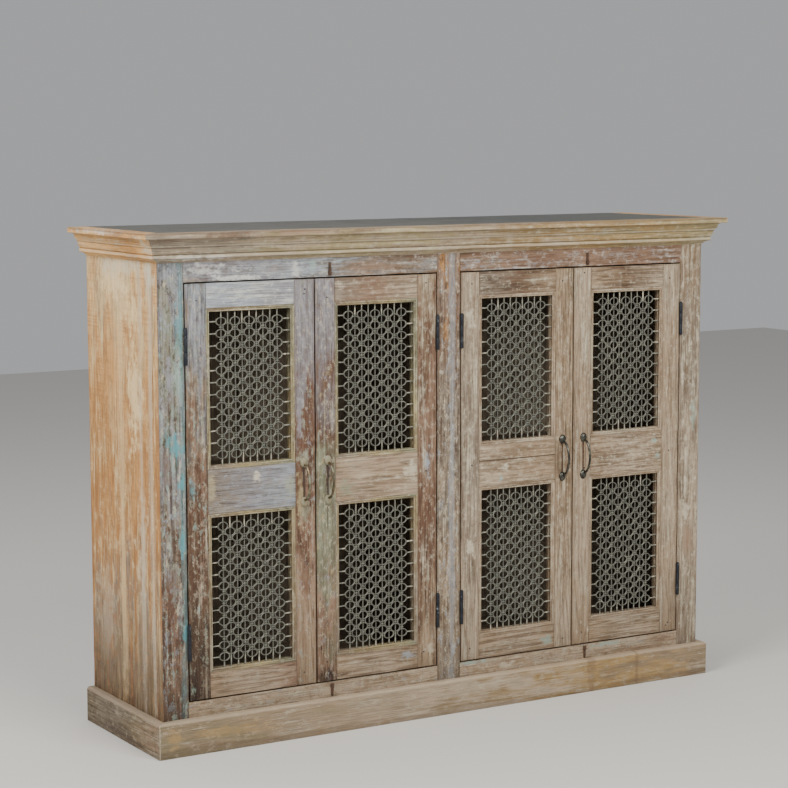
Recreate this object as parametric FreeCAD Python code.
import FreeCAD, Part
import math
import os

# Low sideboard with four framed doors and iron lattice panels.
# All sizes in millimetres. The origin is under the middle of the outline,
# X runs to the right, Y to the back and Z up. The doors face -Y.

# Overall form
TOTAL_HEIGHT = 1100.0
CARCASS_WIDTH = 1414.0
CARCASS_DEPTH = 363.0
PLINTH_HEIGHT = 77.0
PLINTH_THICKNESS = 18.0
PLINTH_CHAMFER = 4.0

# Crown members from the bottom up; a sag is how far a curve bulges from its chord
BED_DEPTH = 12.0
BED_HEIGHT = 9.0
BED_SAG = -1.0
LOWER_BEAD_PROUD = 4.0
LOWER_BEAD_HEIGHT = 8.0
QUIRK_DEPTH = 2.0
SWELL_DEPTH = 6.0
SWELL_HEIGHT = 15.0
SWELL_SAG = 1.4
UPPER_BEAD_PROUD = 1.5
UPPER_BEAD_HEIGHT = 4.5
FILLET_DEPTH = 5.0
FILLET_HEIGHT = 2.5
COVE_DEPTH = 6.5
COVE_HEIGHT = 12.0
COVE_SAG = -2.0
LIP_PROJECTION = 10.0
LIP_HEIGHT = 12.0

# Carcass boards
FRAME_THICKNESS = 28.0
POST_WIDTH = 60.0
SIDE_THICKNESS = 22.0
TOP_THICKNESS = 22.0
PARTITION_THICKNESS = 22.0
FLOOR_THICKNESS = 20.0
SHELF_THICKNESS = 20.0
BACK_THICKNESS = 12.0
BACK_REBATE = 10.0
BACK_BOARD_COUNT = 8
BACK_BOARD_GAP = 1.0
BACK_FOOT_CLEARANCE = 40.0
SHELF_HEIGHT = 544.0
SHELF_SETBACK = 20.0
HOUSING_DEPTH = 6.0
FRAME_TOP_RAIL = 82.0
FRAME_BOTTOM_RAIL = 70.0
DOOR_STOP_HEIGHT = 10.0
DOOR_STOP_CLEARANCE = 0.5

# Joinery
TENON_THICKNESS = 10.0
TENON_SHOULDER = 8.0
POST_TENON_LENGTH = 24.0
DOOR_TENON_LENGTH = 34.0
TONGUE_THICKNESS = 8.0
TONGUE_LENGTH = 8.0
TONGUE_END_MARGIN = 90.0
JOINT_CLEARANCE = 0.2

# Doors
DOOR_GAP = 3.0
DOOR_BOTTOM = 113.0
DOOR_THICKNESS = 28.0
STILE_WIDTH = 48.0
DOOR_TOP_RAIL = 52.0
LOCK_RAIL = 94.0
DOOR_BOTTOM_RAIL = 54.0
BEAD_OUTER_WIDTH = 3.8
BEAD_QUIRK_WIDTH = 1.3
BEAD_INNER_WIDTH = 3.1
BEAD_DEPTH = 5.5
BEAD_RECESS = 1.0
BEAD_QUIRK_DEPTH = 1.6
BEAD_INNER_DROP = 0.7
BEAD_EASE = 1.2
BACK_BEAD_DEPTH = 10.0

# Lattice panels
COLUMN_COUNT = 9
COLUMN_PITCH = 16.6
ROW_PITCH = 25.5
BAR_WIDTH = 3.0
LAYER_THICKNESS = 2.0
RIM_CLEARANCE = 0.5
RIM_COVER = 1.0
SHORTEST_BAR = 6.0

# Butt hinges
HINGE_HEIGHT = 76.0
HINGE_FROM_TOP = 130.0
HINGE_FROM_BOTTOM = 125.0
KNUCKLE_RADIUS = 4.0
KNUCKLE_STANDOFF = 4.3
KNUCKLE_AXIAL_GAP = 0.3
LEAF_THICKNESS = 1.3
LEAF_DEPTH = 24.0
PIN_RADIUS = 1.9
PIN_CLEARANCE = 0.07
PIN_HEAD_RADIUS = 3.2
PIN_HEAD_HEIGHT = 2.0

# Bow pulls
PULL_EDGE_DISTANCE = 28.0
PULL_ABOVE_RAIL_MIDDLE = 3.0
PULL_BOSS_SPACING = 86.0
PULL_BOSS_HALF_WIDTH = 8.5
PULL_BOSS_HALF_HEIGHT = 10.8
PULL_BOSS_EDGE = 2.0
PULL_BOSS_HEIGHT = 6.0
PULL_BOSS_TAPER = 0.72
PULL_BOSS_SIDES = 12
PULL_ROD_RADIUS = 2.8
PULL_ROD_SIDES = 8
PULL_PROJECTION = 31.0
PULL_ARC_STEPS = 10
PULL_END_BEND = 0.7
PULL_BOW_FULLNESS = 0.8

# Turn buttons on the rails of doors 2 and 4
BUTTON_WIDTH = 8.0
BUTTON_THICKNESS = 3.0
BUTTON_SHORT_ARM = 6.0
BUTTON_LONG_ARM = 22.0
BUTTON_PIVOT_OFFSET = 9.0
BUTTON_EDGE_DISTANCE = 35.0
BUTTON_PLAY = 0.3
PIVOT_RADIUS = 1.6
PIVOT_CLEARANCE = 0.08
PIVOT_COLLAR_RADIUS = 3.6
PIVOT_COLLAR_THICKNESS = 0.6
PIVOT_HEAD_RADIUS = 3.6
PIVOT_HEAD_THICKNESS = 1.4
PIVOT_DEPTH = 18.0

# Small round forms are drawn with flats, and cuts run past the face they open
ROUND_SIDES = 8
OVERCUT = 1.0

# Positions that follow from the sizes above
CROWN_MEMBERS = [
    (BED_DEPTH, BED_HEIGHT, BED_SAG),
    (LOWER_BEAD_PROUD, 0, 0),
    (0, LOWER_BEAD_HEIGHT, 0),
    (-QUIRK_DEPTH, 0, 0),
    (SWELL_DEPTH, SWELL_HEIGHT, SWELL_SAG),
    (UPPER_BEAD_PROUD, 0, 0),
    (0, UPPER_BEAD_HEIGHT, 0),
    (FILLET_DEPTH, FILLET_HEIGHT, 0),
    (COVE_DEPTH, COVE_HEIGHT, COVE_SAG),
    (LIP_PROJECTION, 0, 0),
    (0, LIP_HEIGHT, 0),
]
CROWN_OVERHANG = sum(member[0] for member in CROWN_MEMBERS)
CROWN_HEIGHT = sum(member[1] for member in CROWN_MEMBERS)
HALF_WIDTH = CARCASS_WIDTH / 2
TOTAL_DEPTH = CARCASS_DEPTH + CROWN_OVERHANG
FRONT = CROWN_OVERHANG - TOTAL_DEPTH / 2
BACK = TOTAL_DEPTH / 2
FRAME_BACK = FRONT + FRAME_THICKNESS
TOP_UNDERSIDE = TOTAL_HEIGHT - TOP_THICKNESS
BACK_FACE = BACK - BACK_THICKNESS
TOP_RAIL_EDGE = TOP_UNDERSIDE - FRAME_TOP_RAIL
DOOR_TOP = TOP_RAIL_EDGE - DOOR_GAP
DOOR_HEIGHT = DOOR_TOP - DOOR_BOTTOM
BOTTOM_RAIL_EDGE = DOOR_BOTTOM - DOOR_GAP
FLOOR_TOP = BOTTOM_RAIL_EDGE + DOOR_STOP_HEIGHT
FLOOR_FRONT = FRAME_BACK + DOOR_STOP_CLEARANCE
BAY_WIDTH = (CARCASS_WIDTH - 3 * POST_WIDTH) / 2
DOOR_WIDTH = (BAY_WIDTH - 3 * DOOR_GAP) / 2
OPENING_WIDTH = DOOR_WIDTH - 2 * STILE_WIDTH
OPENING_HEIGHT = (DOOR_HEIGHT - DOOR_TOP_RAIL - LOCK_RAIL - DOOR_BOTTOM_RAIL) / 2
BEAD_WIDTH = BEAD_OUTER_WIDTH + BEAD_QUIRK_WIDTH + BEAD_INNER_WIDTH
GRILLE_FRONT = FRONT + BEAD_DEPTH
GRILLE_BACK = GRILLE_FRONT + 3 * LAYER_THICKNESS
AXIS_Y = FRONT - KNUCKLE_STANDOFF


def box(x_range, y_range, z_range):
    """Block between two values along each direction."""
    x0, x1 = sorted(x_range)
    y0, y1 = sorted(y_range)
    z0, z1 = sorted(z_range)
    return Part.makeBox(x1 - x0, y1 - y0, z1 - z0, FreeCAD.Vector(x0, y0, z0))


def about(middle, width):
    """Pair of limits centred on a value."""
    return (middle - width / 2, middle + width / 2)


def grown(limits, amount):
    """Pair of limits moved outwards by an amount."""
    return (min(limits) - amount, max(limits) + amount)


def joined(shapes):
    """One solid from pieces that touch or overlap."""
    return shapes[0].fuse(shapes[1:]).removeSplitter()


def flats(radius):
    """Corners of a round form, on the given radius."""
    turns = [2 * math.pi * (i + 0.5) / ROUND_SIDES for i in range(ROUND_SIDES)]
    return [(radius * math.cos(turn), radius * math.sin(turn)) for turn in turns]


def bore_radius(radius):
    """Corner radius of a hole whose flats clear a rod of the given radius."""
    return radius / math.cos(math.pi / ROUND_SIDES)


def skin(loops, split=False):
    """Closed solid through matching loops of points; split halves side faces that are not flat."""
    faces = []
    count = len(loops[0])
    for near, far in zip(loops, loops[1:]):
        for i in range(count):
            j = (i + 1) % count
            if split:
                outlines = [[near[i], near[j], far[j]], [near[i], far[j], far[i]]]
            else:
                outlines = [[near[i], near[j], far[j], far[i]]]
            faces += [Part.Face(Part.makePolygon(outline + outline[:1])) for outline in outlines]
    for loop in (loops[0], loops[-1]):
        faces.append(Part.Face(Part.makePolygon(loop + loop[:1])))
    solid = Part.makeSolid(Part.makeShell(faces))
    if solid.Volume < 0:
        solid.reverse()
    return solid


def export(node, solids):
    """Writes one named sub-part."""
    shape = solids[0] if len(solids) == 1 else Part.makeCompound(solids)
    shape.exportStep("parts/" + node + ".step")


# Tenons and the mortises that take them

def tenon(x_range, y_middle, z_range, clearance=0.0):
    """Tenon block, or with a clearance the mortise for it."""
    z_inner = (min(z_range) + TENON_SHOULDER, max(z_range) - TENON_SHOULDER)
    y_range = about(y_middle, TENON_THICKNESS)
    return box(grown(x_range, clearance), grown(y_range, clearance), grown(z_inner, clearance))


def rail(x_range, y_range, z_range, tenon_length):
    """Rail with a tenon at each end."""
    x0, x1 = x_range
    y_middle = sum(y_range) / 2
    return joined([
        box(x_range, y_range, z_range),
        tenon((x0 - tenon_length, x0), y_middle, z_range),
        tenon((x1, x1 + tenon_length), y_middle, z_range),
    ])


# Face frame

FRAME_Y = (FRONT, FRAME_BACK)
TOP_RAIL_Z = (TOP_RAIL_EDGE, TOP_UNDERSIDE)
BOTTOM_RAIL_Z = (BOTTOM_RAIL_EDGE - FRAME_BOTTOM_RAIL, BOTTOM_RAIL_EDGE)
POST_MIDDLES = {
    "left_post": -HALF_WIDTH + POST_WIDTH / 2,
    "centre_post": 0.0,
    "right_post": HALF_WIDTH - POST_WIDTH / 2,
}
BAYS = {
    "left": (-HALF_WIDTH + POST_WIDTH, -POST_WIDTH / 2),
    "right": (POST_WIDTH / 2, HALF_WIDTH - POST_WIDTH),
}


def frame_mortises():
    """Mortises for every rail end of the face frame."""
    cuts = []
    y_middle = sum(FRAME_Y) / 2
    for x0, x1 in BAYS.values():
        for z_range in (TOP_RAIL_Z, BOTTOM_RAIL_Z):
            cuts.append(tenon((x0 - POST_TENON_LENGTH, x0), y_middle, z_range, JOINT_CLEARANCE))
            cuts.append(tenon((x1, x1 + POST_TENON_LENGTH), y_middle, z_range, JOINT_CLEARANCE))
    return cuts


def side_tongue(side, clearance=0.0):
    """Tongue on the front edge of a side board, or the groove for it."""
    x_range = about(side * (HALF_WIDTH - SIDE_THICKNESS / 2), TONGUE_THICKNESS)
    y_range = (FRAME_BACK - TONGUE_LENGTH, FRAME_BACK)
    z_range = (TONGUE_END_MARGIN, TOP_UNDERSIDE - TONGUE_END_MARGIN)
    return box(grown(x_range, clearance), grown(y_range, clearance), grown(z_range, clearance))


def make_posts():
    """The three upright posts of the face frame."""
    cuts = frame_mortises() + [side_tongue(-1, JOINT_CLEARANCE), side_tongue(1, JOINT_CLEARANCE)]
    for node, middle in POST_MIDDLES.items():
        blank = box(about(middle, POST_WIDTH), FRAME_Y, (0, TOP_UNDERSIDE))
        export(node, [blank.cut(cuts)])


def button_seats():
    """Place and turning side of each turn button: x, z and the side of the rail it rests on."""
    seats = {}
    for door in (2, 4):
        x = door_x(door)[0] + BUTTON_EDGE_DISTANCE
        seats["button_%d_top" % door] = (x, TOP_RAIL_EDGE + BUTTON_PIVOT_OFFSET, 1)
        seats["button_%d_bottom" % door] = (x, BOTTOM_RAIL_EDGE - BUTTON_PIVOT_OFFSET, -1)
    return seats


def rod_along_y(x, z, radius, y_range):
    """Round rod with flats that runs front to back."""
    loops = []
    for y in y_range:
        loops.append([FreeCAD.Vector(x + a, y, z + b) for a, b in flats(radius)])
    return skin(loops)


def make_frame_rails():
    """Top and bottom rails of the face frame, drilled for the pivots of the turn buttons."""
    holes = []
    for x, z, _ in button_seats().values():
        y_range = (FRONT - OVERCUT, FRONT + PIVOT_DEPTH + PIVOT_CLEARANCE)
        holes.append(rod_along_y(x, z, bore_radius(PIVOT_RADIUS + PIVOT_CLEARANCE), y_range))
    for node, z_range in (("top_rails", TOP_RAIL_Z), ("bottom_rails", BOTTOM_RAIL_Z)):
        rails = [rail(x_range, FRAME_Y, z_range, POST_TENON_LENGTH) for x_range in BAYS.values()]
        export(node, [piece.cut(holes) for piece in rails])


# Boards behind the frame

INSIDE = HALF_WIDTH - SIDE_THICKNESS
SHELF_Z = (SHELF_HEIGHT, SHELF_HEIGHT + SHELF_THICKNESS)
FLOOR_Z = (FLOOR_TOP - FLOOR_THICKNESS, FLOOR_TOP)
SHELF_Y = (FRAME_BACK + SHELF_SETBACK, BACK_FACE)
FLOOR_Y = (FLOOR_FRONT, BACK_FACE)


def housing(x_range, y_range, z_range):
    """Groove for a board end, closed at the front and snug under the board."""
    y_room = (y_range[0] - JOINT_CLEARANCE, y_range[1])
    z_room = (z_range[0], z_range[1] + JOINT_CLEARANCE)
    return box(x_range, y_room, z_room)


def make_sides():
    """Left and right side boards, down to the floor."""
    for node, side in (("left_side", -1), ("right_side", 1)):
        board = box((side * INSIDE, side * HALF_WIDTH), (FRAME_BACK, BACK), (0, TOP_UNDERSIDE))
        groove_x = (side * INSIDE, side * (INSIDE + HOUSING_DEPTH + JOINT_CLEARANCE))
        rebate_x = (side * INSIDE, side * (INSIDE + BACK_REBATE))
        cuts = [
            housing(groove_x, FLOOR_Y, FLOOR_Z),
            housing(groove_x, SHELF_Y, SHELF_Z),
            box(rebate_x, (BACK_FACE, BACK), (BACK_FOOT_CLEARANCE, TOP_UNDERSIDE)),
        ]
        export(node, [joined([board, side_tongue(side)]).cut(cuts)])


def make_inside():
    """Floor board, partition and the two shelves."""
    reach = INSIDE + HOUSING_DEPTH
    export("floor_board", [box((-reach, reach), FLOOR_Y, FLOOR_Z)])
    half = PARTITION_THICKNESS / 2
    wall = box((-half, half), (FRAME_BACK, BACK_FACE), (FLOOR_TOP, TOP_UNDERSIDE))
    shelves = []
    for side in (-1, 1):
        groove_x = (side * (half - HOUSING_DEPTH - JOINT_CLEARANCE), side * half)
        wall = wall.cut(housing(groove_x, SHELF_Y, SHELF_Z))
        shelves.append(box((side * (half - HOUSING_DEPTH), side * reach), SHELF_Y, SHELF_Z))
    export("partition", [wall])
    export("shelves", shelves)


def make_back():
    """Upright boards that close the back."""
    span = 2 * (INSIDE + BACK_REBATE)
    pitch = (span + BACK_BOARD_GAP) / BACK_BOARD_COUNT
    boards = []
    for i in range(BACK_BOARD_COUNT):
        x0 = -span / 2 + i * pitch
        x_range = (x0, x0 + pitch - BACK_BOARD_GAP)
        boards.append(box(x_range, (BACK_FACE, BACK), (BACK_FOOT_CLEARANCE, TOP_UNDERSIDE)))
    export("back_boards", boards)


def make_top():
    """Top board inside the crown."""
    export("top_board", [box((-HALF_WIDTH, HALF_WIDTH), (FRONT, BACK), (TOP_UNDERSIDE, TOTAL_HEIGHT))])


# Crown and plinth

def crown_section(place):
    """Face of the crown section; place turns an offset and a height into a point."""
    offset = 0.0
    height = TOTAL_HEIGHT - CROWN_HEIGHT
    last = place(offset, height)
    edges = []
    for out, up, sag in CROWN_MEMBERS:
        end = place(offset + out, height + up)
        if sag:
            length = math.hypot(out, up)
            middle = place(offset + out / 2 + sag * up / length, height + up / 2 - sag * out / length)
            edges.append(Part.Arc(last, middle, end).toShape())
        else:
            edges.append(Part.makeLine(last, end))
        offset += out
        height += up
        last = end
    inner_top = place(0.0, TOTAL_HEIGHT)
    edges.append(Part.makeLine(last, inner_top))
    edges.append(Part.makeLine(inner_top, place(0.0, TOTAL_HEIGHT - CROWN_HEIGHT)))
    return Part.Face(Part.Wire(edges))


def plinth_section(place):
    """Face of the plinth board section, with a chamfer on its upper front edge."""
    stops = [
        (0, 0),
        (PLINTH_THICKNESS, 0),
        (PLINTH_THICKNESS, PLINTH_HEIGHT - PLINTH_CHAMFER),
        (PLINTH_THICKNESS - PLINTH_CHAMFER, PLINTH_HEIGHT),
        (0, PLINTH_HEIGHT),
    ]
    points = [place(*stop) for stop in stops]
    return Part.Face(Part.makePolygon(points + points[:1]))


def mitre_block(side, reach, z_range):
    """Block over the return side of a front corner mitre."""
    corner = FreeCAD.Vector(side * HALF_WIDTH, FRONT, z_range[0])
    points = [
        corner,
        corner + FreeCAD.Vector(side * reach, -reach, 0),
        corner + FreeCAD.Vector(side * reach, CARCASS_DEPTH + reach, 0),
        corner + FreeCAD.Vector(0, CARCASS_DEPTH + reach, 0),
    ]
    base = Part.Face(Part.makePolygon(points + points[:1]))
    return base.extrude(FreeCAD.Vector(0, 0, z_range[1] - z_range[0]))


def make_surround(name, section, projection, z_range):
    """Front board and two returns round the carcass, mitred at the front corners."""
    reach = 2 * projection
    cutters = {side: mitre_block(side, reach, grown(z_range, OVERCUT)) for side in (-1, 1)}
    x_start = -HALF_WIDTH - projection
    front = section(lambda o, z: FreeCAD.Vector(x_start, FRONT - o, z))
    front = front.extrude(FreeCAD.Vector(2 * (HALF_WIDTH + projection), 0, 0))
    export(name + "_front", [front.cut([cutters[-1], cutters[1]])])
    returns = []
    for side in (-1, 1):
        piece = section(lambda o, z: FreeCAD.Vector(side * (HALF_WIDTH + o), FRONT - projection, z))
        piece = piece.extrude(FreeCAD.Vector(0, CARCASS_DEPTH + projection, 0))
        returns.append(piece.common(cutters[side]))
    export(name + "_returns", returns)


# Doors

def door_x(door):
    """Left and right limits of a door, counted from the left."""
    bay = BAYS["left"] if door < 3 else BAYS["right"]
    x0 = bay[0] + DOOR_GAP + (0 if door % 2 else DOOR_WIDTH + DOOR_GAP)
    return (x0, x0 + DOOR_WIDTH)


def hinge_side(door):
    """-1 where the hinges are on the left edge, 1 on the right edge."""
    return -1 if door % 2 else 1


DOOR_Y = (FRONT, FRONT + DOOR_THICKNESS)
LOWER_OPENING_Z = (DOOR_BOTTOM + DOOR_BOTTOM_RAIL, DOOR_BOTTOM + DOOR_BOTTOM_RAIL + OPENING_HEIGHT)
UPPER_OPENING_Z = (DOOR_TOP - DOOR_TOP_RAIL - OPENING_HEIGHT, DOOR_TOP - DOOR_TOP_RAIL)
DOOR_RAILS = {
    "top_rail": (UPPER_OPENING_Z[1], DOOR_TOP),
    "lock_rail": (LOWER_OPENING_Z[1], UPPER_OPENING_Z[0]),
    "bottom_rail": (DOOR_BOTTOM, LOWER_OPENING_Z[0]),
}


def make_door_frame(door):
    """Two stiles and three rails, tenoned."""
    x0, x1 = door_x(door)
    rails_x = (x0 + STILE_WIDTH, x1 - STILE_WIDTH)
    y_middle = sum(DOOR_Y) / 2
    cuts = []
    for name, z_range in DOOR_RAILS.items():
        export("door_%d_%s" % (door, name), [rail(rails_x, DOOR_Y, z_range, DOOR_TENON_LENGTH)])
        left_end = (rails_x[0] - DOOR_TENON_LENGTH, rails_x[0])
        right_end = (rails_x[1], rails_x[1] + DOOR_TENON_LENGTH)
        cuts.append(tenon(left_end, y_middle, z_range, JOINT_CLEARANCE))
        cuts.append(tenon(right_end, y_middle, z_range, JOINT_CLEARANCE))
    names = ("hinge_stile", "meeting_stile")
    left_name, right_name = names if hinge_side(door) < 0 else names[::-1]
    for name, x_range in ((left_name, (x0, rails_x[0])), (right_name, (rails_x[1], x1))):
        blank = box(x_range, DOOR_Y, (DOOR_BOTTOM, DOOR_TOP))
        export("door_%d_%s" % (door, name), [blank.cut(cuts)])


# Bead sections: distance in from the opening edge, depth behind the door face
BEAD_INNER_EDGE = BEAD_OUTER_WIDTH + BEAD_QUIRK_WIDTH
BEAD_SECTION = [
    (0.0, BEAD_RECESS),
    (BEAD_OUTER_WIDTH, BEAD_RECESS),
    (BEAD_OUTER_WIDTH + BEAD_QUIRK_WIDTH / 2, BEAD_RECESS + BEAD_QUIRK_DEPTH),
    (BEAD_INNER_EDGE, BEAD_RECESS + BEAD_INNER_DROP),
    (BEAD_WIDTH - BEAD_EASE, BEAD_RECESS + BEAD_INNER_DROP),
    (BEAD_WIDTH, BEAD_RECESS + BEAD_INNER_DROP + BEAD_EASE),
    (BEAD_WIDTH, BEAD_DEPTH),
    (0.0, BEAD_DEPTH),
]
BACK_BEAD_START = GRILLE_BACK - FRONT
BACK_BEAD_SECTION = [
    (0.0, BACK_BEAD_START),
    (BEAD_WIDTH, BACK_BEAD_START),
    (BEAD_WIDTH, BACK_BEAD_START + BACK_BEAD_DEPTH),
    (0.0, BACK_BEAD_START + BACK_BEAD_DEPTH),
]


def bead_frame(x_range, z_range, section):
    """Four mitred strips round the inside of an opening."""
    x0, x1 = x_range
    z0, z1 = z_range
    corners = []
    for x, z, step_x, step_z in ((x0, z0, 1, 1), (x1, z0, -1, 1), (x1, z1, -1, -1), (x0, z1, 1, -1)):
        corners.append([FreeCAD.Vector(x + step_x * i, FRONT + d, z + step_z * i) for i, d in section])
    return [skin([corners[i], corners[(i + 1) % 4]]) for i in range(4)]


def make_beads(door):
    """Moulded beads in front of both lattice panels and plain ones behind."""
    x0, x1 = door_x(door)
    x_range = (x0 + STILE_WIDTH, x1 - STILE_WIDTH)
    strips = []
    for z_range in (LOWER_OPENING_Z, UPPER_OPENING_Z):
        for section in (BEAD_SECTION, BACK_BEAD_SECTION):
            strips += bead_frame(x_range, z_range, section)
    export("door_%d_beads" % door, strips)


# Lattice panels. The slanting bars run through the points where neighbouring
# rings of the lattice meet, and the upright rods run through the ring centres.

PANEL_WIDTH = OPENING_WIDTH - 2 * RIM_CLEARANCE
PANEL_HEIGHT = OPENING_HEIGHT - 2 * RIM_CLEARANCE
CLEAR_WIDTH = OPENING_WIDTH - 2 * (BEAD_WIDTH - RIM_COVER)
CLEAR_HEIGHT = OPENING_HEIGHT - 2 * (BEAD_WIDTH - RIM_COVER)
BAR_SLOPE = math.atan2(ROW_PITCH / 2, COLUMN_PITCH)


def slanted_layer(direction):
    """Rim with slanting bars across it, lying from y = 0 to one layer thickness."""
    y_range = (0, LAYER_THICKNESS)
    outer = box(about(0, PANEL_WIDTH), y_range, about(0, PANEL_HEIGHT))
    rim = outer.cut(box(about(0, CLEAR_WIDTH), grown(y_range, OVERCUT), about(0, CLEAR_HEIGHT)))
    inner = box(about(0, CLEAR_WIDTH + RIM_COVER), y_range, about(0, CLEAR_HEIGHT + RIM_COVER))
    column = -(COLUMN_COUNT - 1) / 2 * COLUMN_PITCH
    reach = PANEL_WIDTH + PANEL_HEIGHT
    rise = CLEAR_WIDTH / 2 * math.tan(BAR_SLOPE)
    count = int((CLEAR_HEIGHT / 2 + rise + abs(column) * math.tan(BAR_SLOPE)) / ROW_PITCH) + 1
    bars = []
    for i in range(-count, count + 1):
        bar = box(about(0, reach), y_range, about(0, BAR_WIDTH))
        bar.rotate(FreeCAD.Vector(0, 0, 0), FreeCAD.Vector(0, 1, 0), -direction * math.degrees(BAR_SLOPE))
        bar.translate(FreeCAD.Vector(column, 0, i * ROW_PITCH))
        piece = bar.common(inner)
        if piece.Volume > SHORTEST_BAR * BAR_WIDTH * LAYER_THICKNESS:
            bars.append(piece.Solids[0])
    return joined([rim] + bars)


def lattice_panel():
    """Front bars, upright rods and back bars of one panel, its front face at y = 0."""
    rods = []
    for i in range(COLUMN_COUNT):
        x = (i - (COLUMN_COUNT - 1) / 2) * COLUMN_PITCH
        y_range = (LAYER_THICKNESS, 2 * LAYER_THICKNESS)
        rods.append(box(about(x, BAR_WIDTH), y_range, about(0, PANEL_HEIGHT)))
    back = slanted_layer(-1)
    back.translate(FreeCAD.Vector(0, 2 * LAYER_THICKNESS, 0))
    return [slanted_layer(1)] + rods + [back]


def make_grilles(door, panel):
    """Upper and lower lattice panel of a door."""
    x_middle = sum(door_x(door)) / 2
    solids = []
    for z_range in (LOWER_OPENING_Z, UPPER_OPENING_Z):
        place = FreeCAD.Vector(x_middle, GRILLE_FRONT, sum(z_range) / 2)
        solids += [solid.translated(place) for solid in panel]
    export("door_%d_grilles" % door, solids)


# Pulls

def pull_loop(middle, half_width, half_height, depth, sides):
    """Oval loop of points parallel to the door face."""
    points = []
    for i in range(sides):
        turn = 2 * math.pi * (i + 0.5) / sides
        across = half_width * math.cos(turn)
        points.append(middle + FreeCAD.Vector(across, -depth, half_height * math.sin(turn)))
    return points


def pull_boss(middle):
    """Oval foot of a pull with a sloped edge."""
    loops = []
    for scale, depth in ((1.0, 0.0), (1.0, PULL_BOSS_EDGE), (PULL_BOSS_TAPER, PULL_BOSS_HEIGHT)):
        half_width = scale * PULL_BOSS_HALF_WIDTH
        half_height = scale * PULL_BOSS_HALF_HEIGHT
        loops.append(pull_loop(middle, half_width, half_height, depth, PULL_BOSS_SIDES))
    return skin(loops)


def pull_rod(middle):
    """Bow between the two feet, as a chain of straight pieces with mitred joints."""
    half = PULL_BOSS_SPACING / 2
    rise = PULL_PROJECTION - PULL_ROD_RADIUS - PULL_BOSS_HEIGHT
    path = []
    for i in range(PULL_ARC_STEPS + 1):
        turn = math.pi * i / PULL_ARC_STEPS
        flat = math.copysign(abs(math.cos(turn)) ** PULL_END_BEND, math.cos(turn))
        path.append((half * flat, PULL_BOSS_HEIGHT + rise * math.sin(turn) ** PULL_BOW_FULLNESS))
    headings = []
    for i in range(len(path)):
        if i in (0, len(path) - 1):
            headings.append((0.0, 1.0 if i == 0 else -1.0))
            continue
        before = math.atan2(path[i][1] - path[i - 1][1], path[i][0] - path[i - 1][0])
        after = math.atan2(path[i + 1][1] - path[i][1], path[i + 1][0] - path[i][0])
        turn = (after - before + math.pi) % (2 * math.pi) - math.pi
        headings.append((math.cos(before + turn / 2), math.sin(before + turn / 2)))
    loops = []
    for (z, depth), (run_z, run_depth) in zip(path, headings):
        loop = []
        for i in range(PULL_ROD_SIDES):
            turn = 2 * math.pi * (i + 0.5) / PULL_ROD_SIDES
            side = PULL_ROD_RADIUS * math.cos(turn)
            out = PULL_ROD_RADIUS * math.sin(turn)
            loop.append(middle + FreeCAD.Vector(side, -depth - out * run_z, z - out * run_depth))
        loops.append(loop)
    return skin(loops, split=True)


def make_pull(door):
    """Iron pull on the meeting stile."""
    x0, x1 = door_x(door)
    x = x1 - PULL_EDGE_DISTANCE if hinge_side(door) < 0 else x0 + PULL_EDGE_DISTANCE
    middle = FreeCAD.Vector(x, FRONT, sum(DOOR_RAILS["lock_rail"]) / 2 + PULL_ABOVE_RAIL_MIDDLE)
    half = FreeCAD.Vector(0, 0, PULL_BOSS_SPACING / 2)
    pieces = [pull_boss(middle + half), pull_boss(middle - half), pull_rod(middle)]
    export("door_%d_pull" % door, [joined(pieces)])


# Hinges

def hinge_axis(door):
    """X of the hinge axis of a door, in the middle of its gap."""
    x0, x1 = door_x(door)
    return x0 - DOOR_GAP / 2 if hinge_side(door) < 0 else x1 + DOOR_GAP / 2


def hinge_heights():
    """Middle height of the two hinges of a door."""
    return (DOOR_BOTTOM + HINGE_FROM_BOTTOM, DOOR_TOP - HINGE_FROM_TOP)


def knuckle_z(middle, place):
    """Limits of one of three knuckles, counted from below."""
    length = (HINGE_HEIGHT - 2 * KNUCKLE_AXIAL_GAP) / 3
    z0 = middle - HINGE_HEIGHT / 2 + place * (length + KNUCKLE_AXIAL_GAP)
    return (z0, z0 + length)


def upright_rod(x, y, radius, z_range):
    """Round rod with flats that stands upright."""
    loops = []
    for z in z_range:
        loops.append([FreeCAD.Vector(x + a, y + b, z) for a, b in flats(radius)])
    return skin(loops)


def hinge_leaf(axis, middle, side, places):
    """Leaf against the wood on one side of the gap, with its knuckles."""
    inner = side * (DOOR_GAP / 2 - LEAF_THICKNESS)
    x_range = (axis + inner, axis + side * DOOR_GAP / 2)
    pieces = [box(x_range, (FRONT, FRONT + LEAF_DEPTH), about(middle, HINGE_HEIGHT))]
    for place in places:
        z_range = knuckle_z(middle, place)
        pieces.append(box(x_range, (AXIS_Y, FRONT), z_range))
        pieces.append(upright_rod(axis, AXIS_Y, KNUCKLE_RADIUS, z_range))
    bore_z = grown(about(middle, HINGE_HEIGHT), OVERCUT)
    bore = upright_rod(axis, AXIS_Y, bore_radius(PIN_RADIUS + PIN_CLEARANCE), bore_z)
    return joined(pieces).cut(bore)


def hinge_pin(axis, middle):
    """Pin through the knuckles, its head on the upper one."""
    top = middle + HINGE_HEIGHT / 2
    shank = upright_rod(axis, AXIS_Y, PIN_RADIUS, (middle - HINGE_HEIGHT / 2, top))
    head = upright_rod(axis, AXIS_Y, PIN_HEAD_RADIUS, (top, top + PIN_HEAD_HEIGHT))
    return joined([shank, head])


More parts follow.
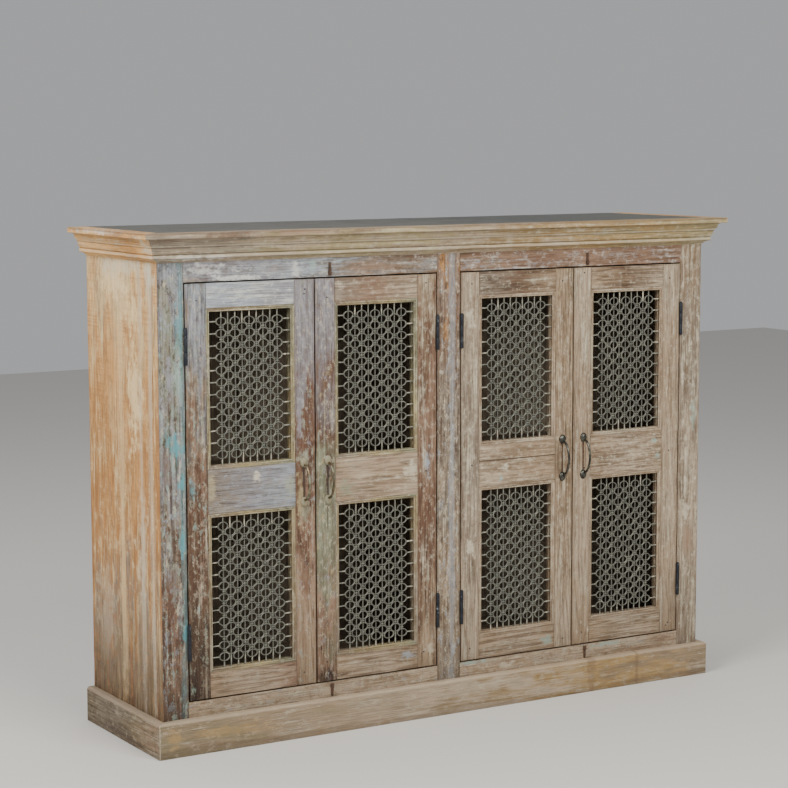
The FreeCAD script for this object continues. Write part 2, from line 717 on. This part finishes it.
def make_hinges():
    """Door leaves for each door, and all fixed leaves and pins."""
    frame_leaves = []
    pins = []
    for door in (1, 2, 3, 4):
        axis = hinge_axis(door)
        side = hinge_side(door)
        door_leaves = []
        for middle in hinge_heights():
            frame_leaves.append(hinge_leaf(axis, middle, side, (0, 2)))
            door_leaves.append(hinge_leaf(axis, middle, -side, (1,)))
            pins.append(hinge_pin(axis, middle))
        export("door_%d_hinge_leaves" % door, door_leaves)
    export("hinge_frame_leaves", frame_leaves)
    export("hinge_pins", pins)


# Turn buttons

BUTTON_BACK = FRONT - PIVOT_COLLAR_THICKNESS - BUTTON_PLAY
BUTTON_FRONT = BUTTON_BACK - BUTTON_THICKNESS


def make_buttons():
    """Iron turn buttons, stored turned away from the door, and the pivots that carry them."""
    pivots = []
    for node, (x, z, away) in button_seats().items():
        z_range = (z - away * BUTTON_SHORT_ARM, z + away * BUTTON_LONG_ARM)
        strip = box(about(x, BUTTON_WIDTH), (BUTTON_FRONT, BUTTON_BACK), z_range)
        hole_y = grown((BUTTON_FRONT, BUTTON_BACK), OVERCUT)
        hole = rod_along_y(x, z, bore_radius(PIVOT_RADIUS + PIVOT_CLEARANCE), hole_y)
        export(node, [strip.cut(hole)])
        head_back = BUTTON_FRONT - BUTTON_PLAY
        pivots.append(joined([
            rod_along_y(x, z, PIVOT_RADIUS, (head_back, FRONT + PIVOT_DEPTH)),
            rod_along_y(x, z, PIVOT_COLLAR_RADIUS, (FRONT - PIVOT_COLLAR_THICKNESS, FRONT)),
            rod_along_y(x, z, PIVOT_HEAD_RADIUS, (head_back - PIVOT_HEAD_THICKNESS, head_back)),
        ]))
    export("button_pivots", pivots)


def main():
    """Builds and writes every sub-part."""
    os.makedirs("parts", exist_ok=True)
    make_posts()
    make_frame_rails()
    make_sides()
    make_inside()
    make_back()
    make_top()
    make_surround("crown", crown_section, CROWN_OVERHANG, (TOTAL_HEIGHT - CROWN_HEIGHT, TOTAL_HEIGHT))
    make_surround("plinth", plinth_section, PLINTH_THICKNESS, (0, PLINTH_HEIGHT))
    panel = lattice_panel()
    for door in (1, 2, 3, 4):
        make_door_frame(door)
        make_beads(door)
        make_grilles(door, panel)
        make_pull(door)
    make_hinges()
    make_buttons()


main()
